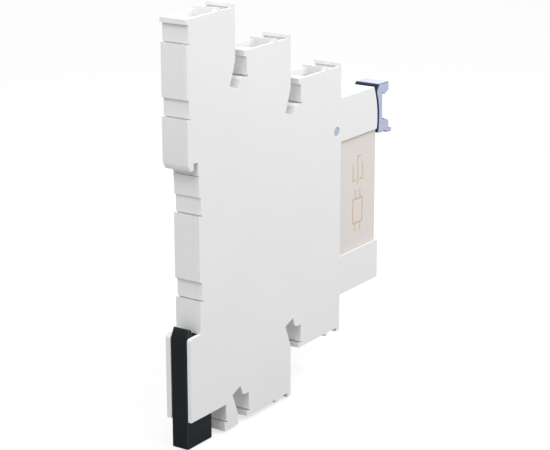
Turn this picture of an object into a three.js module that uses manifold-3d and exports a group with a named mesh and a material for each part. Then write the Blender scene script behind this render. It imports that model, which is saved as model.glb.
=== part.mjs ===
// Slim plug-in interface relay for a 35 mm mounting rail, in millimetres.
// Frame: origin at the middle of the face that rests on the rail; +Y points to the rail,
// -Y to the front with the relay and its lever, +Z up, X across the 6.2 mm thickness.
import * as THREE from "three";
import { mergeVertices } from "three/addons/utils/BufferGeometryUtils.js";
import Module from "manifold-3d";

// Driving dimensions of the socket housing.
const HALF = 3.1; // half the module thickness
const SPLIT = -1.7; // plane where body and cover meet
const JOINT_GAP = 0.02;
const WALL = 0.8; // large side walls
const MIRROR_Z = -1.7; // lower terminal steps mirror the upper ones about this height
const STEP_Y = 19.75; // from one terminal step to the next
const STEP_Z = 9.2;
const FRONT_1 = -12.8; // front face of the rearmost step
const RIM_1 = 46.6; // its top rim
const REAR = 3.4; // rearmost wall above the rail
const BOTTOM = -35.8; // lower edge of the foot guide walls
const LEG_BOTTOM = -41.5;

// Relay seat between the two noses.
const SEAT_Y = -52.4;
const NOSE_R = 17.1; // upper nose front, round the lever pivot
const NOSE_TOP = 21.0;
const NOSE_UNDER = 11.15;
const LOW_NOSE_TOP = -15.05;
const LOW_NOSE_BOTTOM = -24.1;
const LOW_NOSE_FRONT = -68.4;

// Lever.
const PIVOT_Y = -50.7;
const PIVOT_Z = 13.8;
const PIN_R = 1.0;
const LEVER_R = 17.7; // rear face of the lever, round its pivot
const ARM_HALF = 1.5;

// Relay.
const RELAY_REAR = -52.55;
const RELAY_FRONT = -67.9;
const RELAY_BOTTOM = -15.95;
const RELAY_TOP = 12.05;
const RELAY_HALF = 2.5;
const PIN_TIP = -49.4;
const CONTACT_PINS = [8.8, 4.4, 0]; // heights of the normally closed, common and normally open pins
const COIL_PINS = [-9.2, -13.0];

// Terminals, measured from a step's front face (towards +Y) and from its rim (down).
const SCREW_X = 0.2;
const SCREW_DROP = 6.3;
const BAR_BACK = 6.4;
const BAR_T = 0.8;
const RUNNING = 0.05; // radial clearance of shafts

const wasm = await Module();
wasm.setup();

// ---- shaping helpers: every helper returns or takes a closed BufferGeometry ----

function toSolid(geometry) {
  const bare = (geometry.index ? geometry.toNonIndexed() : geometry).clone();
  bare.deleteAttribute("normal");
  bare.deleteAttribute("uv");
  const merged = mergeVertices(bare, 1e-4);
  return new wasm.Manifold(
    new wasm.Mesh({
      numProp: 3,
      vertProperties: new Float32Array(merged.attributes.position.array),
      triVerts: new Uint32Array(merged.index.array),
    }),
  );
}

function toGeometry(solid) {
  const mesh = solid.getMesh();
  const corners = new Float32Array(mesh.numVert * 3);
  for (let v = 0; v < mesh.numVert; v++)
    for (let k = 0; k < 3; k++) corners[3 * v + k] = mesh.vertProperties[v * mesh.numProp + k];
  const geometry = new THREE.BufferGeometry();
  geometry.setAttribute("position", new THREE.BufferAttribute(corners, 3));
  geometry.setIndex([...mesh.triVerts]);
  return geometry;
}

const join = (first, ...rest) =>
  toGeometry(rest.reduce((sum, g) => sum.add(toSolid(g)), toSolid(first)));
const cut = (first, ...rest) =>
  toGeometry(rest.reduce((left, g) => left.subtract(toSolid(g)), toSolid(first)));

// A flat piece: an outline of [y, z] corners between the planes x0 and x1.
const ACROSS = new THREE.Matrix4().makeBasis(
  new THREE.Vector3(0, 1, 0),
  new THREE.Vector3(0, 0, 1),
  new THREE.Vector3(1, 0, 0),
);
function plate(outline, x0, x1) {
  const shape = new THREE.Shape(outline.map(([y, z]) => new THREE.Vector2(y, z)));
  const geometry = new THREE.ExtrudeGeometry(shape, { depth: x1 - x0, bevelEnabled: false });
  return geometry.applyMatrix4(ACROSS).translate(x0, 0, 0);
}

function block(x0, x1, y0, y1, z0, z1) {
  const geometry = new THREE.BoxGeometry(x1 - x0, y1 - y0, z1 - z0);
  return geometry.translate((x0 + x1) / 2, (y0 + y1) / 2, (z0 + z1) / 2);
}


// A round bar along X or Y.
function barX(radius, x0, x1, y, z, sides = 28) {
  const geometry = new THREE.CylinderGeometry(radius, radius, x1 - x0, sides);
  return geometry.rotateZ(-Math.PI / 2).translate((x0 + x1) / 2, y, z);
}
function barY(radius, x, y0, y1, z, sides = 28) {
  const geometry = new THREE.CylinderGeometry(radius, radius, y1 - y0, sides);
  return geometry.translate(x, (y0 + y1) / 2, z);
}

// Points of an arc round [y, z]; angle 0 points to -Y and positive angles turn up.
function arc(y, z, radius, from, to, steps) {
  const points = [];
  for (let i = 0; i <= steps; i++) {
    const angle = THREE.MathUtils.degToRad(from + ((to - from) * i) / steps);
    points.push([y - radius * Math.cos(angle), z + radius * Math.sin(angle)]);
  }
  return points;
}
// A funnel between two rounded rectangles at different heights.
const CORNER = 0.17; // corner radius as a share of the sides
const roundedSquare = [0, 90, 180, 270].flatMap((turn) => {
  const [[y, z]] = arc(0.5, 0.5, (0.5 - CORNER) * Math.SQRT2, turn + 45, turn + 45, 1);
  return arc(y, z, CORNER, turn, turn + 90, 4);
});
function funnel(low, high) {
  const square = new THREE.Shape(roundedSquare.map(([x, y]) => new THREE.Vector2(x, y)));
  const geometry = new THREE.ExtrudeGeometry(square, { depth: 1, bevelEnabled: false });
  const at = geometry.attributes.position;
  const { lerp } = THREE.MathUtils;
  for (let v = 0; v < at.count; v++) {
    const end = at.getZ(v) > 0.5 ? high : low;
    at.setXYZ(v, lerp(end.x0, end.x1, at.getX(v)), lerp(end.y0, end.y1, at.getY(v)), end.z);
  }
  return geometry;
}
const angleAt = (height, radius) => THREE.MathUtils.radToDeg(Math.asin((height - PIVOT_Z) / radius));

// The outline of a strip of sheet metal whose middle line runs through the given points.
const heading = ([y0, z0], [y1, z1]) => new THREE.Vector2(y1 - y0, z1 - z0).normalize();
function strip(points, thickness) {
  const runs = points.slice(1).map((end, i) => heading(points[i], end));
  const left = [];
  const right = [];
  points.forEach(([y, z], i) => {
    const into = runs[Math.max(i - 1, 0)];
    const out = runs[Math.min(i, runs.length - 1)];
    const along = into.clone().add(out).normalize();
    const reach = thickness / 2 / along.dot(into);
    left.push([y - along.y * reach, z + along.x * reach]);
    right.unshift([y + along.y * reach, z - along.x * reach]);
  });
  return [...left, ...right];
}

const mirrored = (points) => points.map(([y, z]) => [y, 2 * MIRROR_Z - z]).reverse();

// ---- materials ----

const finish = (color, roughness, metalness = 0, more = {}) =>
  new THREE.MeshStandardMaterial({ color, roughness, metalness, ...more });
const HOUSING = finish(0xf0f0f1, 0.5);
const BLACK = finish(0x1f2225, 0.45);
const CLEAR_BLUE = finish(0xaab6dc, 0.12, 0, { transparent: true, opacity: 0.75 });
const CASE = finish(0xe4ddd7, 0.42);
const BASE = finish(0x2e3033, 0.5);
const BRASS = finish(0xc9a860, 0.35, 1);
const STEEL = finish(0xb9bcc0, 0.35, 1);
const IRON = finish(0x8c8f93, 0.45, 1);
const COPPER = finish(0xb5713f, 0.4, 1);
const BOBBIN = finish(0xd8d4c6, 0.5);
const BOARD = finish(0x2f6b46, 0.5);
const GLOW = finish(0x6fbf6a, 0.2);
const CERAMIC = finish(0xcdb98f, 0.6);

const relayModule = new THREE.Group();
function add(name, geometry, material, group = relayModule) {
  const mesh = new THREE.Mesh(geometry, material);
  mesh.name = name;
  group.add(mesh);
  return mesh;
}

// ---- socket housing: one stepped outline shared by the deep body and the flat cover ----

const stepFront = (k) => FRONT_1 - STEP_Y * k;
const stepRim = (k) => RIM_1 - STEP_Z * k;

// A shallow recess between two heights; the ledge below it drops inwards into a narrow slit.
const recess = (y, z0, z1, slitDepth = 0.45, slitTop = 0.06) => [
  [y - slitDepth, z0 - 0.42],
  [y - slitDepth, z0 + slitTop],
  [y, z0 + slitTop],
  [y, z1],
];

// Top of one step, from its rear to its front face: rim, cross rib, tag groove, front rib.
function stepTop(k) {
  const y = stepFront(k);
  const z = stepRim(k);
  return [
    [y + 6.1, z],
    [y + 5.9, z + 0.6],
    [y + 5.0, z + 0.5],
    [y + 4.8, z],
    [y + 1.4, z],
    [y + 1.3, z + 0.85],
    [y, z + 0.75],
  ];
}
// Hooked notch between step k and the next one, for jumper combs, open at the top. Its front wall
// is recessed; the slit at the foot of that recess is at the other end on the mirrored lower steps.
function notch(k, low = false) {
  const y = stepFront(k);
  const z = stepRim(k);
  const wall = low
    ? mirrored(recess(y - 3.9, 2 * MIRROR_Z - z + 10.35, 2 * MIRROR_Z - z + 14.3))
    : recess(y - 3.9, z - 14.35, z - 10.65);
  return [
    [y, z - 10.55],
    [y + 0.85, z - 12.9],
    [y + 1.95, z - 15.55],
    [y - 0.9, z - 16.65],
    [y - 1.6, z - 14.8],
    [y - 2.4, z - 14.35],
    ...wall,
    [y - 3.05, z - 10.35],
    [y - 3.05, z - STEP_Z],
  ];
}

const railSide = [
  [-7.9, LEG_BOTTOM],
  [-7.9, -39.5],
  ...recess(-8.5, -39.5, BOTTOM),
  [REAR + 0.1, BOTTOM],
  ...arc(REAR - 0.6, -18.6, 0.7, 180, 90, 4),
  [-0.1, -17.85],
  [-0.1, -10.85],
  ...recess(-0.75, -10.85, -7.3),
  [0, -6.8],
  [0, 6.85],
  ...recess(-0.7, 6.85, 10.4),
  [-0.2, 10.6],
  [-0.2, 13.35],
  [0.05, 14.9],
  ...recess(0.05, 14.9, 17.8, 0.35, 0.2),
  [1.4, 17.8],
  [1.4, 16.45],
  [2.45, 16.4],
  [REAR - 0.1, 17.8],
  [REAR - 0.1, 26.95],
  ...recess(2.65, 26.95, 30.55),
  [REAR - 0.15, 30.7],
  [REAR - 0.15, 41.6],
  ...recess(2.6, 41.6, 45.25),
  [REAR, 45.4],
  [REAR, RIM_1 - 0.2],
];
const upperSteps = [...stepTop(0), ...notch(0), ...stepTop(1), ...notch(1), ...stepTop(2)];
const lowerSteps = mirrored([...notch(0, true), ...stepTop(1), ...notch(1, true), ...stepTop(2)]);
const noses = [
  [stepFront(2), NOSE_TOP],
  ...arc(PIVOT_Y, PIVOT_Z, NOSE_R, angleAt(NOSE_TOP, NOSE_R), angleAt(NOSE_UNDER, NOSE_R), 10),
  [SEAT_Y, NOSE_UNDER],
  [SEAT_Y, LOW_NOSE_TOP],
  [LOW_NOSE_FRONT, LOW_NOSE_TOP],
  [LOW_NOSE_FRONT, LOW_NOSE_BOTTOM],
  [stepFront(2), LOW_NOSE_BOTTOM],
];
const outline = [...railSide, ...upperSteps, ...noses, ...lowerSteps, [FRONT_1, LEG_BOTTOM]];

// Terminals: three on the upper steps for the contacts, two on the lower steps for the coil.
const terminals = [
  { name: "nc", k: 2, low: false },
  { name: "com", k: 1, low: false },
  { name: "no", k: 0, low: false },
  { name: "coil_a", k: 2, low: true },
  { name: "coil_b", k: 1, low: true },
];
const heightAt = (t, drop) => (t.low ? 2 * MIRROR_Z - stepRim(t.k) + drop : stepRim(t.k) - drop);
// A block given by its depth behind the step's front face and its drop below the step's rim.
function inStep(t, x0, x1, back0, back1, drop0, drop1) {
  const [low, high] = [heightAt(t, drop0), heightAt(t, drop1)].sort((a, b) => a - b);
  return block(x0, x1, stepFront(t.k) + back0, stepFront(t.k) + back1, low, high);
}
function wireFunnel(t) {
  const y = stepFront(t.k);
  const throat = { x0: -2.2, x1: 2.2, y0: y + 6.5, y1: y + 12.3, z: heightAt(t, 1.6) };
  const mouth = { x0: -2.72, x1: 2.72, y0: y + 5.9, y1: y + 14.1, z: heightAt(t, -0.8) };
  return t.low ? funnel(mouth, throat) : funnel(throat, mouth);
}
// The groove for a marking tag undercuts the front rib.
function tagGroove(t) {
  const section = [
    [0.95, 0.35],
    [0.95, -0.15],
    [1.6, -0.15],
    [1.6, -1],
    [4.6, -1],
    [4.6, 0.35],
  ];
  return plate(section.map(([back, drop]) => [stepFront(t.k) + back, heightAt(t, drop)]), -2.6, 2.6);
}
const screwAxis = (t, radius, back0, back1) =>
  barY(radius, SCREW_X, stepFront(t.k) + back0, stepFront(t.k) + back1, heightAt(t, SCREW_DROP));

// Hollows shared by both shells.
const IN_LOW = -HALF + WALL - 0.05;
const IN_HIGH = HALF - WALL;
const room = (y0, y1, z0, z1) => block(IN_LOW, IN_HIGH, y0, y1, z0, z1);
const terminalHollows = terminals.flatMap((t) => [
  inStep(t, IN_LOW, IN_HIGH, 0.8, 12.9, 3.3, 9.6),
  inStep(t, IN_LOW, IN_HIGH, BAR_BACK, 12.9, 1.5, 3.4),
  wireFunnel(t),
  tagGroove(t),
  screwAxis(t, 1.8, -1, 1),
]);
const chambers = [room(-9.5, -2, -16, 36), room(-30.5, -9.4, -21, 25.8), room(-51.9, -30.4, -19.9, 16.6)];
const barShafts = [
  room(-7.6, -4.4, 35, 37.5),
  room(-27.4, -24.2, 25, 28.2),
  room(-47.2, -44, 16, 19),
  room(-27.4, -24.2, -31.6, -20),
];
const boardBay = room(-67.6, -41, -23.1, -16.9);
const footBay = block(-2.25, 1.9, -5, 20, -60, -17.85);
const relayPocket = block(
  -RELAY_HALF - 0.1,
  RELAY_HALF + 0.1,
  -80,
  SEAT_Y,
  RELAY_BOTTOM - 0.1,
  RELAY_TOP + 0.1,
);
const armSlot = block(-2.2, 2.2, -80, SEAT_Y + 0.1, RELAY_TOP, 20.2);
const fingerRoom = block(-2.2, 2.2, SEAT_Y - 0.1, -47.9, 9.9, 16.5);
const pivotHole = barX(PIN_R + RUNNING, -5, 5, PIVOT_Y, PIVOT_Z);
const lampWindow = barY(0.95, 0.1, -70, -67, -20, 20);
const pinSlots = [...CONTACT_PINS, ...COIL_PINS].map((z) =>
  block(-0.55, 0.55, SEAT_Y - 1, -51, z - 0.85, z + 0.85),
);
const hollows = [
  ...terminalHollows,
  ...chambers,
  ...barShafts,
  boardBay,
  footBay,
  relayPocket,
  armSlot,
  fingerRoom,
  pivotHole,
  lampWindow,
  ...pinSlots,
];
const pegs = [
  [-33.5, 18.5],
  [-33.5, -21.9],
  [-13.2, 27.8],
  [-13.2, -28],
];
const springShelf = block(-1.2, 2.2, -5.2, -1.6, -31, -29.9);
add(
  "housing_body",
  cut(
    join(cut(plate(outline, SPLIT, HALF), ...hollows), springShelf),
    ...pegs.map(([y, z]) => barX(0.8, SPLIT - 1, SPLIT + 1.9, y, z, 16)),
  ),
  HOUSING,
);
add(
  "housing_cover",
  join(
    cut(plate(outline, -HALF, SPLIT - JOINT_GAP), ...hollows),
    ...pegs.map(([y, z]) => barX(0.7, SPLIT - 0.5, SPLIT + 1.6, y, z, 16)),
  ),
  HOUSING,
);

// ---- rail foot: a sprung slider whose wedge hooks behind the lower edge of the rail ----

const FOOT_TOP = -18.15;
const FOOT_BOTTOM = -41.9;
const footOutline = [
  [3.5, FOOT_BOTTOM],
  [3.5, FOOT_TOP - 0.3],
  [2.5, -16.25],
  [1.85, -16.5],
  [1.2, FOOT_TOP],
  [-4.7, FOOT_TOP - 0.1],
  [-4.7, FOOT_BOTTOM],
];
add("rail_foot", cut(plate(footOutline, -2.15, 1.8), block(-1.4, 3, -6, -1.2, -35, -19.8)), BLACK);

class Coil extends THREE.Curve {
  constructor(radius, turns, x, y, z0, z1) {
    super();
    Object.assign(this, { radius, turns, x, y, z0, z1 });
  }
  getPoint(t, target = new THREE.Vector3()) {
    const angle = t * this.turns * 2 * Math.PI;
    const z = this.z0 + (this.z1 - this.z0) * t;
    return target.set(this.x + this.radius * Math.cos(angle), this.y + this.radius * Math.sin(angle), z);
  }
}
function coilSpring(radius, wire, turns, x, y, z0, z1) {
  const section = new THREE.Shape();
  section.absarc(0, 0, wire / 2, 0, 2 * Math.PI);
  const path = new Coil(radius, turns, x, y, z0 + wire / 2, z1 - wire / 2);
  return new THREE.ExtrudeGeometry(section, { steps: turns * 12, curveSegments: 3, extrudePath: path });
}
add("foot_spring", coilSpring(1.1, 0.36, 6, 0.1, -3, -29.85, -20), STEEL);

// ---- retaining and ejecting lever, one moulding that turns on its own two pins ----

const leverOutline = [
  [-68.45, 21.25],
  [-67.5, 19.9],
  ...arc(PIVOT_Y, PIVOT_Z, LEVER_R, angleAt(19.6, LEVER_R), angleAt(10.1, LEVER_R), 10),
  [-69.9, 9.9],
  [-70.8, 10.1],
  [-72.1, 9.5],
  [-73.9, 9.4],
  [-73.9, 10.2],
  [-72.75, 10.5],
  [-72.6, 12.15],
  [-70.7, 13],
  [-69.85, 13.1],
  [-69.75, 18.9],
  [-70.8, 18.6],
  [-72.55, 19.35],
  [-72.5, 21.2],
];
add(
  "ejector_lever",
  join(
    plate(leverOutline, -HALF, HALF),
    block(-ARM_HALF, ARM_HALF, -69.2, PIVOT_Y, 12.6, 14.9),
    barX(2.1, -1.9, 1.9, PIVOT_Y, PIVOT_Z),
    barX(PIN_R, -2.95, 2.95, PIVOT_Y, PIVOT_Z),
    plate(strip([[-50.9, 12.8], [-51.93, 10.75]], 1.2), -1.4, 1.4),
  ),
  CLEAR_BLUE,
);

// ---- screw clamps: captive screw, lifting cage and the bar it clamps the wire against ----

const CAGE_BACK = 5;
for (const t of terminals) {
  const shank = screwAxis(t, 1.25, 2.4, BAR_BACK - 0.05);
  const head = screwAxis(t, 1.95, 1, 2.6);
  const slot = inStep(t, -2, 2.4, 0.5, 1.7, SCREW_DROP - 0.3, SCREW_DROP + 0.3);
  add("clamp_screw_" + t.name, join(cut(head, slot), shank), STEEL);
  add(
    "clamp_cage_" + t.name,
    cut(
      inStep(t, -2.15, 2.15, CAGE_BACK, 12.5, 4, 8.6),
      inStep(t, -1.7, 1.7, CAGE_BACK + 1.2, 11.8, 3, 9.6),
      screwAxis(t, 1.25 + RUNNING, 4, 7),
    ),
    STEEL,
  );
}

// ---- current bars: bent strips from a clamp to a fork that grips one relay pin ----

const fork = (z) =>
  cut(block(-0.9, 0.9, -51.8, -47.4, z - 0.9, z + 0.9), block(-0.3, 0.3, -53, -49.1, z - 2, z + 2));
const barY0 = (t) => stepFront(t.k) + BAR_BACK + BAR_T / 2;
terminals.slice(0, 3).forEach((t, i) => {
  const z = CONTACT_PINS[i];
  const route = [
    [barY0(t), heightAt(t, 4.2)],
    [barY0(t), z],
    [-47.8, z],
  ];
  add("current_bar_" + t.name, join(plate(strip(route, BAR_T), -1.5, 1.5), fork(z)), BRASS);
});
const [coilA, coilB] = terminals.slice(3);
const tab = (y0, y1, z0, z1) => block(-0.55, 0.2, y0, y1, z0, z1);
add(
  "current_bar_coil_a",
  join(inStep(coilA, -1.5, 1.5, BAR_BACK, BAR_BACK + BAR_T, 4.2, 8.6), tab(-45.9, -45.1, -23.9, -20.5)),
  BRASS,
);
add(
  "current_bar_coil_b",
  join(
    plate(strip([[barY0(coilB), heightAt(coilB, 4.2)], [barY0(coilB), -19], [-40.6, -19]], BAR_T), -1.5, 1.5),
    tab(-43.5, -40.5, -19.4, -18.6),
  ),
  BRASS,
);
const [forkA, forkB] = COIL_PINS.map(fork);
const forkATabs = [tab(-47.6, -44.1, -9.6, -8.8), tab(-44.9, -44.1, -18.5, -8.8)];
add("coil_fork_a", join(forkA, ...forkATabs), BRASS);
add("coil_fork_b", join(forkB, tab(-48.4, -47.6, -18.5, -12.2)), BRASS);

// ---- input circuit: a small board with the indicator, its resistor and the suppressor diode ----

add("circuit_board", block(-1.6, -0.6, -65.6, -41.5, -22.6, -17.4), BOARD);
const lamp = block(-0.55, 0.75, -65.5, -63.6, -21.1, -18.9);
add("status_led", join(lamp, barY(0.75, 0.1, -67.8, -65.4, -20, 20)), GLOW);
add("series_resistor", block(-0.55, 0.55, -60, -56.8, -20.9, -19.3), CERAMIC);
add("suppressor_diode", barY(0.65, 0.1, -54, -50.6, -20.2, 16), BLACK);

// ---- plug-in relay ----

const CASE_WALL = 0.5;
const CASE_IN = RELAY_HALF - CASE_WALL;
add(
  "relay_case",
  cut(
    block(-RELAY_HALF, RELAY_HALF, RELAY_FRONT, RELAY_REAR, RELAY_BOTTOM, RELAY_TOP),
    block(-CASE_IN, CASE_IN, RELAY_FRONT + 0.55, -50, RELAY_BOTTOM + 0.55, RELAY_TOP - 0.55),
  ),
  CASE,
);
const pinBlock = (z, inner, grow = 0) =>
  block(-0.25 - grow, 0.25 + grow, inner, PIN_TIP, z - 0.5 - grow, z + 0.5 + grow);
add(
  "relay_base",
  cut(
    block(-CASE_IN + 0.05, CASE_IN - 0.05, -55, RELAY_REAR - 0.05, RELAY_BOTTOM + 0.65, RELAY_TOP - 0.65),
    ...[...CONTACT_PINS, ...COIL_PINS].map((z) => pinBlock(z, -60, 0.03)),
  ),
  BASE,
);
add("coil_pin_a", pinBlock(COIL_PINS[0], -55.9), BRASS);
add("coil_pin_b", pinBlock(COIL_PINS[1], -55.9), BRASS);

// Coil, its iron circuit and the rocking armature.
const COIL_Y = -61.4;
add(
  "coil_bobbin",
  cut(
    join(
      block(-1.05, 1.05, COIL_Y - 2.2, COIL_Y + 2.2, -14, -2.7),
      block(-1.9, 1.9, COIL_Y - 3.8, COIL_Y + 3.8, -14.2, -13.6),
      block(-1.9, 1.9, COIL_Y - 3.8, COIL_Y + 3.8, -3.2, -2.6),
    ),
    block(-0.75, 0.75, COIL_Y - 1.9, COIL_Y + 1.9, -20, 0),
  ),
  BOBBIN,
);
function windingShape(halfX, halfY, corner) {
  const shape = new THREE.Shape();
  shape.moveTo(halfX, -halfY + corner);
  shape.absarc(halfX - corner, halfY - corner, corner, 0, Math.PI / 2);
  shape.absarc(-halfX + corner, halfY - corner, corner, Math.PI / 2, Math.PI);
  shape.absarc(-halfX + corner, -halfY + corner, corner, Math.PI, 1.5 * Math.PI);
  shape.absarc(halfX - corner, -halfY + corner, corner, 1.5 * Math.PI, 2 * Math.PI);
  return shape;
}
const winding = new THREE.ExtrudeGeometry(windingShape(1.85, 3.6, 1.5), {
  depth: 10.3,
  bevelEnabled: false,
  curveSegments: 6,
}).translate(0, COIL_Y, -13.55);
add(
  "coil_winding",
  cut(winding, block(-1.1, 1.1, COIL_Y - 2.25, COIL_Y + 2.25, -20, 0)),
  COPPER,
);
add("coil_core", block(-0.7, 0.7, COIL_Y - 1.85, COIL_Y + 1.85, -14.25, -2.02), IRON);
const yokeOutline = [
  [-63.4, -15.2],
  [-56.2, -15.2],
  [-56.2, -1.75],
  [-57.2, -1.75],
  [-57.2, -14.3],
  [-63.4, -14.3],
];
add("coil_yoke", plate(yokeOutline, -1.6, 1.6), IRON);
add("armature", block(-1.6, 1.6, -66, -56.3, -1.6, -0.8), IRON);
add("armature_spring", plate(strip([[-55.85, -4.5], [-55.85, -0.66], [-58.5, -0.66]], 0.12), -1, 1), STEEL);

// Contacts: the card lets the blade drop from the closed contact above it to the open one below.
const RIVET_Y = -63;
function rivet(z0, z1) {
  const stud = new THREE.CylinderGeometry(0.65, 0.65, z1 - z0, 20).rotateX(Math.PI / 2);
  return stud.translate(-0.4, RIVET_Y, (z0 + z1) / 2);
}
const leaf = (z, height) =>
  plate(strip([[-55.1, z], [-56.1, z], [-57, height], [-64.2, height]], 0.3), -1.6, 1.2);
const [ncPin, commonPin, noPin] = CONTACT_PINS;
add("nc_contact", join(pinBlock(ncPin, -55.3), leaf(ncPin, 5.5), rivet(4.67, 5.5)), BRASS);
const bladeSeat = block(-1.6, 1.6, -56.2, -55.02, 3.6, 4.1);
add("common_contact", join(pinBlock(commonPin, -55.1), bladeSeat), BRASS);
add("no_contact", join(pinBlock(noPin, -55.3), leaf(noPin, 2.65), rivet(2.65, 3.45)), BRASS);
add("contact_blade", join(block(-1.6, 1.6, -66, -55.25, 4.13, 4.27), rivet(3.75, 4.65)), BRASS);
add("pusher_card", block(-1.2, 1.2, -65.9, -65.1, -0.72, 4.05), BOBBIN);

export default relayModule;
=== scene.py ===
import math

import bpy
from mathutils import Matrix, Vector


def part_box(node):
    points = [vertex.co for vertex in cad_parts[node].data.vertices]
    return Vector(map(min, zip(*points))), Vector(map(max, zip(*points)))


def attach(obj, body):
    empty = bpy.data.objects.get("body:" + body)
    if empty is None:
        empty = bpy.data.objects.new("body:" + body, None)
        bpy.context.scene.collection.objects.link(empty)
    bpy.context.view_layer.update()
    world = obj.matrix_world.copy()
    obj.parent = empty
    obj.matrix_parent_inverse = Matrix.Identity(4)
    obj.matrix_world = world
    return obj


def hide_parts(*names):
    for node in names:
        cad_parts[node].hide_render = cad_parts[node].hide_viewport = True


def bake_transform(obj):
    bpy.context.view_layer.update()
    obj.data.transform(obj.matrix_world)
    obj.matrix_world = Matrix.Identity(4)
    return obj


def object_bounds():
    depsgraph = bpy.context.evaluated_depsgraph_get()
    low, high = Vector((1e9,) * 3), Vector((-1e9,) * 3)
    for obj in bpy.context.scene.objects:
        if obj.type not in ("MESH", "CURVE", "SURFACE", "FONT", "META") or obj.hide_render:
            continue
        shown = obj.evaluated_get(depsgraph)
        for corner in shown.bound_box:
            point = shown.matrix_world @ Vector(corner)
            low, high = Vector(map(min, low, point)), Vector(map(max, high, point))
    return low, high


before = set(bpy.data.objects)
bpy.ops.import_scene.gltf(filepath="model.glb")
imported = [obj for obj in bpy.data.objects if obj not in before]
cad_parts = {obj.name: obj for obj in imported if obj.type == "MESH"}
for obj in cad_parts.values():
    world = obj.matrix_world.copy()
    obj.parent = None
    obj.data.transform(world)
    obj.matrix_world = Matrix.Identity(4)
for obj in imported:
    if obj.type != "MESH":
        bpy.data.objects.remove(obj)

cad_low, cad_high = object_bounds()

# Studio. The module stands on a plain pale sweep in a bright white room, with one big soft light
# high over its cover side and a weaker one behind it; a long lens looks down at its rear corner.
# The paper looks almost white from above but throws little light up under the module.
scene = bpy.context.scene
scene.view_settings.view_transform = "Standard"
scene.view_settings.look = "None"

CAMERA_PLACE = (-0.20841, 0.27514, 0.10674)
CAMERA_AIM = (0.53344, -0.79746, -0.28195)
lens = bpy.data.cameras.new("camera")
lens.lens = 118.86
lens.sensor_width = 36
lens.shift_x = -0.025
lens.shift_y = -0.0076
lens.clip_start = 0.01
lens.clip_end = 50
camera = bpy.data.objects.new("camera", lens)
camera.location = CAMERA_PLACE
camera.rotation_euler = Vector(CAMERA_AIM).to_track_quat("-Z", "Y").to_euler()
scene.collection.objects.link(camera)
scene.camera = camera

room = bpy.data.worlds.new("white_room")
room.use_nodes = True
walls = room.node_tree.nodes["Background"]
walls.inputs["Color"].default_value = (1, 1, 1, 1)
walls.inputs["Strength"].default_value = 0.85
scene.world = room


def soft_light(name, place, size, power):
    """A square area light aimed at the middle of the module and hidden from the lens."""
    light = bpy.data.lights.new(name, "AREA")
    light.size = size
    light.energy = power
    holder = bpy.data.objects.new(name, light)
    holder.location = place
    aim = (cad_low + cad_high) / 2 - Vector(place)
    holder.rotation_euler = aim.to_track_quat("-Z", "Y").to_euler()
    holder.visible_camera = False
    scene.collection.objects.link(holder)


soft_light("rear_light", (-0.05, 0.15, 0.18), 0.12, 0.21)
soft_light("side_light", (-0.15, -0.11, 0.18), 0.12, 0.34)

ceiling = bpy.data.lights.new("ceiling_light", "SUN")
ceiling.energy = 0.35
ceiling.angle = math.radians(50)
ceiling_holder = bpy.data.objects.new("ceiling_light", ceiling)
scene.collection.objects.link(ceiling_holder)

FLOOR_GAP = 0.0001
bpy.ops.mesh.primitive_plane_add(size=6, location=(0, 0, cad_low.z - FLOOR_GAP))
floor = bpy.context.object
floor.name = "floor"
paper = bpy.data.materials.new("pale_paper")
paper.use_nodes = True
paper_nodes = paper.node_tree.nodes
paper_link = paper.node_tree.links.new
seen = paper_nodes["Principled BSDF"]
seen.inputs["Base Color"].default_value = (0.3, 0.3, 0.3, 1)
seen.inputs["Emission Color"].default_value = (1, 1, 1, 1)
seen.inputs["Emission Strength"].default_value = 0.68
seen.inputs["Roughness"].default_value = 0.9
seen.inputs["Specular IOR Level"].default_value = 0
bounced = paper_nodes.new("ShaderNodeBsdfDiffuse")
bounced.inputs["Color"].default_value = (0.36, 0.36, 0.36, 1)
direct = paper_nodes.new("ShaderNodeLightPath")
either = paper_nodes.new("ShaderNodeMixShader")
paper_link(direct.outputs["Is Camera Ray"], either.inputs["Fac"])
paper_link(bounced.outputs["BSDF"], either.inputs[1])
paper_link(seen.outputs["BSDF"], either.inputs[2])
paper_link(either.outputs["Shader"], paper_nodes["Material Output"].inputs["Surface"])
floor.data.materials.append(paper)

# Socket shells. A deep moulded body and a flat cover, both in light grey flame-retardant polyamide
# with a fine spark-eroded grain, pressed together on pegs; their outer edges have a small radius,
# and the edges along the parting line are left sharp.
MERGE = 1e-6
FLAT = math.radians(0.5)
CORNER = math.radians(30)
ROOM = 2.6
ON_LINE = 1e-5


def only(piece):
    """Selects one object and makes it the active one."""
    bpy.ops.object.select_all(action="DESELECT")
    piece.select_set(True)
    bpy.context.view_layer.objects.active = piece


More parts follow.
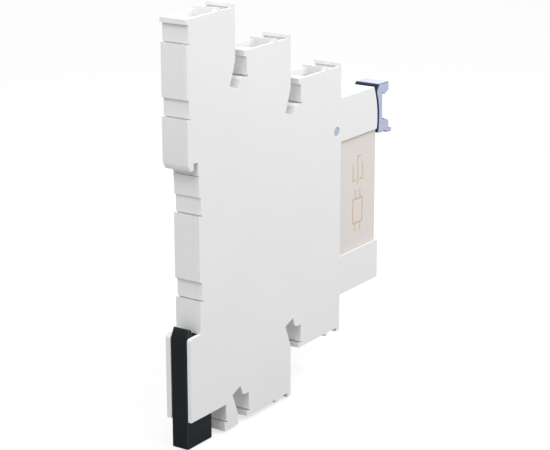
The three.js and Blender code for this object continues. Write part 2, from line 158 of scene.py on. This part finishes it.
def rounded_copy(node, name, radius, segments=2, sharp_at=(), rim=-1):
    """The CAD node as one clean closed mesh, its edges rounded to a radius in metres wherever the
    edges beside them are long enough; edges in a plane x = one of sharp_at stay as they are. The
    rounding takes the material slot rim, which has to be there before it is cut."""
    piece = bpy.data.objects.new(name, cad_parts[node].data.copy())
    scene.collection.objects.link(piece)
    mesh = piece.data
    mesh.materials.clear()
    for _ in range(rim + 1):
        mesh.materials.append(None)
    only(piece)
    bpy.ops.object.mode_set(mode="EDIT")
    bpy.ops.mesh.select_all(action="SELECT")
    bpy.ops.mesh.customdata_custom_splitnormals_clear()
    bpy.ops.mesh.remove_doubles(threshold=MERGE)
    bpy.ops.mesh.dissolve_limited(angle_limit=FLAT)
    bpy.ops.object.mode_set(mode="OBJECT")

    beside = {edge.key: [] for edge in mesh.edges}
    for face in mesh.polygons:
        for key in face.edge_keys:
            beside[key].append(face.normal)
    shortest = [1.0] * len(mesh.vertices)
    for edge in mesh.edges:
        start, end = (mesh.vertices[v].co for v in edge.vertices)
        for v in edge.vertices:
            shortest[v] = min(shortest[v], (end - start).length)
    weight = mesh.attributes.new("bevel_weight_edge", "FLOAT", "EDGE")
    for edge in mesh.edges:
        ends = [mesh.vertices[v].co for v in edge.vertices]
        normals = beside[edge.key]
        sharp = len(normals) == 2 and normals[0].angle(normals[1], 0) > CORNER
        roomy = min(shortest[v] for v in edge.vertices) > ROOM * radius
        parting = any(abs(e.x - x) < ON_LINE for x in sharp_at for e in ends)
        weight.data[edge.index].value = float(sharp and roomy and not parting)
    edges = piece.modifiers.new("rounded edges", "BEVEL")
    edges.width = radius
    edges.segments = segments
    edges.limit_method = "WEIGHT"
    edges.use_clamp_overlap = False
    edges.material = rim
    bpy.ops.object.modifier_apply(modifier=edges.name)
    bpy.ops.object.shade_smooth_by_angle(angle=math.radians(32))
    even = piece.modifiers.new("even shading", "WEIGHTED_NORMAL")
    even.keep_sharp = True
    bpy.ops.object.modifier_apply(modifier=even.name)
    return piece


def finish(piece, body, slot, *materials):
    """The piece's materials and the body it moves with; the slot argument is not used."""
    slots = piece.data.materials
    for index, material in enumerate(materials):
        if index < len(slots):
            slots[index] = material
        else:
            slots.append(material)
    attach(piece, body)


def plastic(name, colour, roughness, grain=9000, depth=0.000004, tone=0.02, shine=0.5):
    """Moulded plastic: faint flow clouds in its tone and gloss, and a fine eroded grain."""
    material = bpy.data.materials.new(name)
    material.use_nodes = True
    nodes = material.node_tree.nodes
    link = material.node_tree.links.new
    shader = nodes["Principled BSDF"]
    shader.inputs["Specular IOR Level"].default_value = shine
    place = nodes.new("ShaderNodeTexCoord").outputs["Object"]

    clouds = nodes.new("ShaderNodeTexNoise")
    clouds.inputs["Scale"].default_value = 60
    clouds.inputs["Detail"].default_value = 4
    link(place, clouds.inputs["Vector"])
    shades = nodes.new("ShaderNodeValToRGB")
    shades.color_ramp.elements[0].position = 0.3
    shades.color_ramp.elements[1].position = 0.7
    shades.color_ramp.elements[0].color = [c * (1 - tone) for c in colour] + [1]
    shades.color_ramp.elements[1].color = list(colour) + [1]
    link(clouds.outputs["Fac"], shades.inputs["Fac"])
    link(shades.outputs["Color"], shader.inputs["Base Color"])

    fine = nodes.new("ShaderNodeTexNoise")
    fine.inputs["Scale"].default_value = grain
    fine.inputs["Detail"].default_value = 3
    link(place, fine.inputs["Vector"])
    gloss = nodes.new("ShaderNodeMapRange")
    gloss.inputs["From Min"].default_value = 0.3
    gloss.inputs["From Max"].default_value = 0.7
    gloss.inputs["To Min"].default_value = roughness - 0.06
    gloss.inputs["To Max"].default_value = roughness + 0.06
    link(fine.outputs["Fac"], gloss.inputs["Value"])
    link(gloss.outputs["Result"], shader.inputs["Roughness"])
    relief = nodes.new("ShaderNodeBump")
    relief.inputs["Strength"].default_value = 0.5
    relief.inputs["Distance"].default_value = depth
    link(fine.outputs["Fac"], relief.inputs["Height"])
    link(relief.outputs["Normal"], shader.inputs["Normal"])
    return material


grey_polyamide = plastic("light_grey_polyamide", (0.75, 0.75, 0.755), 0.5)
parting_line = (-0.0017, -0.00172)
for node, name in (("housing_body", "socket_body"), ("housing_cover", "socket_cover")):
    shell = rounded_copy(node, name, 0.00009, sharp_at=parting_line)
    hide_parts(node)
    finish(shell, "housing", "housing_plastic", grey_polyamide)

# Rail foot. A black glass-filled polyamide slider moulded in one piece, pushed up by a spring in
# its window; the wedge at its top hooks behind the lower edge of the rail.
black_polyamide = plastic("black_polyamide", (0.008, 0.0112, 0.0138), 0.42, tone=0.15, shine=0.2)
# The rounded edges take a slightly lighter black, which is a painted highlight along the foot's
# edges.
painted_highlight_edge = plastic("painted_highlight_black_edge", (0.025, 0.03, 0.035), 0.35, tone=0.2, shine=0.3)
foot = rounded_copy("rail_foot", "sliding_rail_foot", 0.00016, rim=1)
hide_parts("rail_foot")
finish(foot, "foot", "foot_plastic", black_polyamide, painted_highlight_edge)

# Foot spring. A compression spring wound from hard-drawn steel wire; its lower end rests on the
# shelf in the body and its upper end pushes against the top of the foot's window.


def metal(name, colour, roughness, stretch=(1, 1, 1), tone=0.25, depth=0.000002):
    """Bare or plated metal: drawn or rolled lines along its length, faint stains, uneven gloss."""
    material = bpy.data.materials.new(name)
    material.use_nodes = True
    nodes = material.node_tree.nodes
    link = material.node_tree.links.new
    shader = nodes["Principled BSDF"]
    shader.inputs["Metallic"].default_value = 1
    place = nodes.new("ShaderNodeTexCoord").outputs["Object"]

    stains = nodes.new("ShaderNodeTexNoise")
    stains.inputs["Scale"].default_value = 500
    stains.inputs["Detail"].default_value = 5
    link(place, stains.inputs["Vector"])
    shades = nodes.new("ShaderNodeValToRGB")
    shades.color_ramp.elements[0].position = 0.3
    shades.color_ramp.elements[1].position = 0.7
    shades.color_ramp.elements[0].color = [c * (1 - tone) for c in colour] + [1]
    shades.color_ramp.elements[1].color = list(colour) + [1]
    link(stains.outputs["Fac"], shades.inputs["Fac"])
    link(shades.outputs["Color"], shader.inputs["Base Color"])

    along = nodes.new("ShaderNodeMapping")
    along.inputs["Scale"].default_value = stretch
    link(place, along.inputs["Vector"])
    lines = nodes.new("ShaderNodeTexNoise")
    lines.inputs["Scale"].default_value = 7000
    lines.inputs["Detail"].default_value = 3
    link(along.outputs["Vector"], lines.inputs["Vector"])
    gloss = nodes.new("ShaderNodeMapRange")
    gloss.inputs["From Min"].default_value = 0.3
    gloss.inputs["From Max"].default_value = 0.7
    gloss.inputs["To Min"].default_value = roughness - 0.08
    gloss.inputs["To Max"].default_value = roughness + 0.1
    link(lines.outputs["Fac"], gloss.inputs["Value"])
    link(gloss.outputs["Result"], shader.inputs["Roughness"])
    relief = nodes.new("ShaderNodeBump")
    relief.inputs["Strength"].default_value = 0.4
    relief.inputs["Distance"].default_value = depth
    link(lines.outputs["Fac"], relief.inputs["Height"])
    link(relief.outputs["Normal"], shader.inputs["Normal"])
    return material


spring_low, spring_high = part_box("foot_spring")
wire = 0.00036
turns = 6
bpy.ops.mesh.primitive_circle_add(vertices=14, radius=wire / 2, rotation=(math.pi / 2, 0, 0))
spring = bpy.context.object
spring.name = "foot_return_spring"
only(spring)
bpy.ops.object.transform_apply(location=False, rotation=True, scale=False)
bpy.ops.object.mode_set(mode="EDIT")
bpy.ops.mesh.select_all(action="SELECT")
bpy.ops.transform.translate(value=((spring_high.x - spring_low.x - wire) / 2, 0, 0))
bpy.ops.object.mode_set(mode="OBJECT")
coils = spring.modifiers.new("coils", "SCREW")
coils.axis = "Z"
coils.angle = 2 * math.pi
coils.screw_offset = (spring_high.z - spring_low.z - wire) / turns
coils.iterations = turns
coils.steps = 36
coils.render_steps = 36
coils.use_merge_vertices = True
coils.merge_threshold = MERGE
bpy.ops.object.modifier_apply(modifier=coils.name)
bpy.ops.object.mode_set(mode="EDIT")
bpy.ops.mesh.select_all(action="SELECT")
bpy.ops.mesh.fill_holes(sides=0)
bpy.ops.mesh.select_all(action="SELECT")
bpy.ops.mesh.normals_make_consistent(inside=False)
bpy.ops.object.mode_set(mode="OBJECT")
bpy.ops.object.shade_smooth_by_angle(angle=math.radians(50))
spring.location = (
    (spring_low.x + spring_high.x) / 2,
    (spring_low.y + spring_high.y) / 2,
    spring_low.z + wire / 2,
)
bpy.ops.object.transform_apply(location=True, rotation=False, scale=False)
spring_steel = metal("spring_steel", (0.5, 0.5, 0.51), 0.3)
spring.data.materials.append(spring_steel)
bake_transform(spring)
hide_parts("foot_spring")

# Retaining lever. One clear blue-tinted polycarbonate moulding with its two pins, painted as opaque
# plastic: blue on its sides, a paler painted highlight on its upward faces, a nearly black painted
# shade on its rear and downward faces, and a darker blue painted shade along its rounded edges.
clear_blue = plastic("clear_blue_polycarbonate", (0.42, 0.47, 0.6), 0.16, depth=0.0000008)
painted_highlight_blue = plastic("painted_highlight_blue_polycarbonate", (0.54, 0.58, 0.66), 0.16, depth=0.0000008)
painted_shade_blue = plastic("painted_shade_blue_polycarbonate", (0.005, 0.007, 0.026), 0.2, depth=0.0000008)
painted_edge_shade_blue = plastic("painted_edge_shade_blue_polycarbonate", (0.07, 0.09, 0.24), 0.2, depth=0.0000008)
lever = rounded_copy("ejector_lever", "retaining_lever", 0.00015, rim=2)
# Faces that point to the rear or down get the painted shade, and faces that point up get the
# painted highlight.
for face in lever.data.polygons:
    if face.material_index == 0 and (face.normal.y > 0.5 or face.normal.z < -0.5):
        face.material_index = 1
    elif face.material_index == 0 and face.normal.z > 0.5:
        face.material_index = 3
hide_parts("ejector_lever")
finish(lever, "lever", "lever_plastic", clear_blue, painted_shade_blue, painted_edge_shade_blue, painted_highlight_blue)

# Clamp screws and cages. Each terminal has a slotted screw, turned from zinc-plated steel with a
# helical thread on a shank thinned to the thread's root, and a folded cage that it lifts.
terminals = ("nc", "com", "no", "coil_a", "coil_b")
screw_zinc = metal("turned_zinc_plate", (0.62, 0.63, 0.65), 0.3, stretch=(0.25, 1, 0.25))
cage_zinc = metal("rolled_zinc_plate", (0.6, 0.61, 0.63), 0.36, stretch=(1, 1, 0.1))
THREAD_DEPTH = 0.00016
CREST = 0.00124
PITCH = 0.0005
TURNS = 6
ROOT_SHARE = 0.84
HEAD_END = 0.00155
THREAD_START = 0.00195
SHANK_REACH = 0.0014
bpy.ops.mesh.primitive_circle_add(vertices=3, radius=THREAD_DEPTH, rotation=(0, 0, -math.pi / 2))
thread = bpy.context.object
only(thread)
bpy.ops.object.transform_apply(location=False, rotation=True, scale=False)
bpy.ops.object.mode_set(mode="EDIT")
bpy.ops.mesh.select_all(action="SELECT")
bpy.ops.transform.translate(value=(CREST - THREAD_DEPTH, 0, 0))
bpy.ops.object.mode_set(mode="OBJECT")
helix = thread.modifiers.new("helix", "SCREW")
helix.axis = "Y"
helix.screw_offset = PITCH
helix.iterations = TURNS
helix.steps = 24
helix.render_steps = 24
helix.use_merge_vertices = True
helix.merge_threshold = MERGE
bpy.ops.object.modifier_apply(modifier=helix.name)
bpy.ops.object.mode_set(mode="EDIT")
bpy.ops.mesh.select_all(action="SELECT")
bpy.ops.mesh.fill_holes(sides=0)
bpy.ops.mesh.select_all(action="SELECT")
bpy.ops.mesh.normals_make_consistent(inside=False)
bpy.ops.object.mode_set(mode="OBJECT")
bpy.ops.object.shade_smooth_by_angle(angle=math.radians(40))
for terminal in terminals:
    screw = rounded_copy("clamp_screw_" + terminal, "slotted_screw_" + terminal, 0.00009)
    screw_low, screw_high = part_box("clamp_screw_" + terminal)
    axis = Vector(((screw_low.x + screw_high.x) / 2, 0, (screw_low.z + screw_high.z) / 2))
    bpy.ops.object.mode_set(mode="EDIT")
    bpy.ops.mesh.select_all(action="DESELECT")
    bpy.ops.object.mode_set(mode="OBJECT")
    for v in screw.data.vertices:
        out = Vector((v.co.x, 0, v.co.z)) - axis
        v.select = v.co.y > screw_low.y + HEAD_END and out.length < SHANK_REACH
    bpy.ops.object.mode_set(mode="EDIT")
    bpy.ops.transform.resize(value=(ROOT_SHARE, 1, ROOT_SHARE), center_override=axis)
    bpy.ops.object.mode_set(mode="OBJECT")
    turn = bpy.data.objects.new("thread_" + terminal, thread.data.copy())
    turn.location = axis + Vector((0, screw_low.y + THREAD_START, 0))
    scene.collection.objects.link(turn)
    only(turn)
    bpy.ops.object.transform_apply(location=True, rotation=False, scale=False)
    screw.select_set(True)
    bpy.context.view_layer.objects.active = screw
    bpy.ops.object.join()
    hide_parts("clamp_screw_" + terminal)
    finish(screw, "screw_" + terminal, "clamp_steel", screw_zinc)
bpy.data.objects.remove(thread)
for terminal in terminals:
    cage = rounded_copy("clamp_cage_" + terminal, "lifting_cage_" + terminal, 0.0001)
    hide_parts("clamp_cage_" + terminal)
    finish(cage, "cage_" + terminal, "clamp_steel", cage_zinc)

# Current bars and forks. Brass strip, stamped and bent, with the fork that grips a relay pin
# riveted on at its end.
rolled_brass = metal("rolled_brass", (0.68, 0.5, 0.22), 0.32, stretch=(1, 0.15, 0.15))
for terminal in terminals:
    bar = rounded_copy("current_bar_" + terminal, "brass_bar_" + terminal, 0.00006)
    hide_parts("current_bar_" + terminal)
    finish(bar, "housing", "contact_brass", rolled_brass)
for side in ("a", "b"):
    fork = rounded_copy("coil_fork_" + side, "coil_pin_fork_" + side, 0.00004)
    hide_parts("coil_fork_" + side)
    finish(fork, "housing", "contact_brass", rolled_brass)

# Input board. Green solder-masked glass laminate with the lamp, its series resistor and the diode
# that takes up the coil's kick; both ends of each part are soldered to the copper.
board_green = plastic("solder_mask", (0.02, 0.13, 0.06), 0.35, grain=5000, tone=0.35)
board = rounded_copy("circuit_board", "input_board", 0.00004)
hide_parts("circuit_board")
finish(board, "housing", "board_laminate", board_green)
lamp_glass = plastic("clear_green_epoxy", (0.16, 0.5, 0.16), 0.14, depth=0.0000008)
lamp = rounded_copy("status_led", "status_lamp", 0.00012, segments=3)
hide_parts("status_led")
finish(lamp, "housing", "lamp_lens", lamp_glass)
lacquer = plastic("tan_lacquer", (0.36, 0.25, 0.12), 0.45, tone=0.15)
tinned = metal("tinned_ends", (0.72, 0.72, 0.7), 0.3)
TINNED_SHARE = 0.14
for node, name, base, slot in (
    ("series_resistor", "chip_resistor", lacquer, "resistor_body"),
    ("suppressor_diode", "glass_diode", black_polyamide, "foot_plastic"),
):
    part = rounded_copy(node, name, 0.00008)
    low_end, high_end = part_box(node)
    margin = TINNED_SHARE * (high_end.y - low_end.y)
    only(part)
    for cut in (low_end.y + margin, high_end.y - margin):
        bpy.ops.object.mode_set(mode="EDIT")
        bpy.ops.mesh.select_all(action="SELECT")
        bpy.ops.mesh.bisect(plane_co=(0, cut, 0), plane_no=(0, 1, 0))
        bpy.ops.object.mode_set(mode="OBJECT")
    for face in part.data.polygons:
        ends = face.center.y < low_end.y + margin or face.center.y > high_end.y - margin
        face.material_index = int(ends)
    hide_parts(node)
    finish(part, "housing", slot, base, tinned)

# Relay case. A warm off-white thermoplastic box open at the rear, closed by its black base.
warm_plastic = plastic("warm_white_pbt", (0.68, 0.64, 0.605), 0.4)
case = rounded_copy("relay_case", "relay_cover_box", 0.0001)
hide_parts("relay_case")
finish(case, "relay", "relay_case_plastic", warm_plastic)

# Printed diagram. Thin pad-printed lines of tan ink on the case's side: a coil box with its two
# leads and a change-over contact, as a row of flat strips lying on the wall.
ink = plastic("tan_ink", (0.6, 0.47, 0.31), 0.5, depth=0.000001, tone=0.1)
case_low, case_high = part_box("relay_case")
INK = 0.00002
strokes = []


def stroke(y0, y1, z0, z1):
    """One printed line between two heights and depths, given in millimetres."""
    bpy.ops.mesh.primitive_cube_add(size=1)
    line = bpy.context.object
    line.dimensions = (INK, abs(y1 - y0) / 1000, abs(z1 - z0) / 1000)
    line.location = (case_low.x, (y0 + y1) / 2000, (z0 + z1) / 2000)
    bpy.ops.object.transform_apply(location=True, rotation=False, scale=True)
    strokes.append(line)


PRINT_FRONT = -62.7
PRINT_REAR = -58.3
LINE = 0.42
COIL_LOW = -9.4
COIL_HIGH = -3.4
CONTACT_LOW = 0.6
CONTACT_HIGH = 4.6
BLADE_LOW = -0.2
BLADE_HIGH = 6.4
LEAD_IN = 1
FOOT_REACH = 1.4
middle = (PRINT_FRONT + PRINT_REAR) / 2
for y in (PRINT_FRONT, PRINT_REAR - LINE):
    stroke(y, y + LINE, COIL_LOW, COIL_HIGH)
    stroke(y, y + LINE, CONTACT_LOW, CONTACT_HIGH)
for z in (COIL_LOW, COIL_HIGH - LINE):
    stroke(PRINT_FRONT + LINE, PRINT_REAR - LINE, z, z + LINE)
for y in (PRINT_FRONT + LEAD_IN, PRINT_REAR - LEAD_IN - LINE):
    stroke(y, y + LINE, COIL_LOW - 1.8, COIL_LOW)
    stroke(y, y + LINE, COIL_HIGH, COIL_HIGH + 2)
stroke(PRINT_FRONT + LINE, PRINT_FRONT + FOOT_REACH, CONTACT_LOW, CONTACT_LOW + LINE)
stroke(PRINT_REAR - FOOT_REACH, PRINT_REAR - LINE, CONTACT_LOW, CONTACT_LOW + LINE)
stroke(middle - LINE / 2, middle + LINE / 2, BLADE_LOW, BLADE_HIGH)
stroke(PRINT_FRONT + 0.9, middle - LINE / 2, BLADE_HIGH - LINE, BLADE_HIGH)
bpy.ops.object.select_all(action="DESELECT")
for line in strokes:
    line.select_set(True)
bpy.context.view_layer.objects.active = strokes[0]
bpy.ops.object.join()
diagram = bpy.context.object
diagram.name = "printed_diagram"
soft = diagram.modifiers.new("rounded ink edges", "BEVEL")
soft.width = INK / 4
soft.segments = 1
bpy.ops.object.modifier_apply(modifier=soft.name)
finish(diagram, "relay", "resistor_body", ink)

# Relay base and coil pins. The black moulded base closes the case and holds all five pins; the two
# coil pins are stamped from brass.
black_base = plastic("black_pbt", (0.012, 0.012, 0.014), 0.45, tone=0.15, shine=0.3)
base = rounded_copy("relay_base", "relay_base_plate", 0.00006)
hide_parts("relay_base")
finish(base, "relay", "relay_base_plastic", black_base)
for side in ("a", "b"):
    pin = rounded_copy("coil_pin_" + side, "coil_blade_pin_" + side, 0.00005)
    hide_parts("coil_pin_" + side)
    finish(pin, "relay", "contact_brass", rolled_brass)

# Coil. A natural moulded bobbin full of fine enamelled copper wire on an iron core, with the bent
# iron yoke that carries its field round to the armature.
natural = plastic("natural_pbt", (0.55, 0.5, 0.4), 0.45)
bobbin = rounded_copy("coil_bobbin", "coil_bobbin_frame", 0.0001)
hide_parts("coil_bobbin")
finish(bobbin, "relay", "coil_plastic", natural)
wound = metal("enamelled_copper", (0.55, 0.2, 0.07), 0.25, stretch=(0.02, 0.02, 1), depth=0.00003)
winding = rounded_copy("coil_winding", "copper_winding", 0.0001)
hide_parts("coil_winding")
finish(winding, "relay", "winding_copper", wound)
soft_iron = metal("annealed_iron", (0.3, 0.31, 0.32), 0.42, stretch=(1, 1, 0.15), tone=0.35)
for node, name, body in (
    ("coil_core", "iron_core", "relay"),
    ("coil_yoke", "iron_yoke", "relay"),
    ("armature", "rocking_armature", "armature"),
):
    iron = rounded_copy(node, name, 0.00008)
    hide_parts(node)
    finish(iron, body, "soft_iron", soft_iron)

# Armature spring. A thin leaf of spring steel, bent over the corner of the yoke.
leaf = rounded_copy("armature_spring", "armature_leaf_spring", 0.00003, segments=1)
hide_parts("armature_spring")
finish(leaf, "relay", "clamp_steel", spring_steel)

# Contacts. Three stamped brass pins, two with fixed leaves, and the moving blade between them, each
# with a riveted stud; the natural plastic card passes the armature's stroke to the blade.
for node, name, body in (
    ("nc_contact", "closed_contact", "relay"),
    ("common_contact", "common_pin", "relay"),
    ("no_contact", "open_contact", "relay"),
    ("contact_blade", "moving_blade", "blade"),
):
    contact = rounded_copy(node, name, 0.00004)
    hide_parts(node)
    finish(contact, body, "contact_brass", rolled_brass)
card = rounded_copy("pusher_card", "stroke_card", 0.00008)
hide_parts("pusher_card")
finish(card, "card", "coil_plastic", natural)
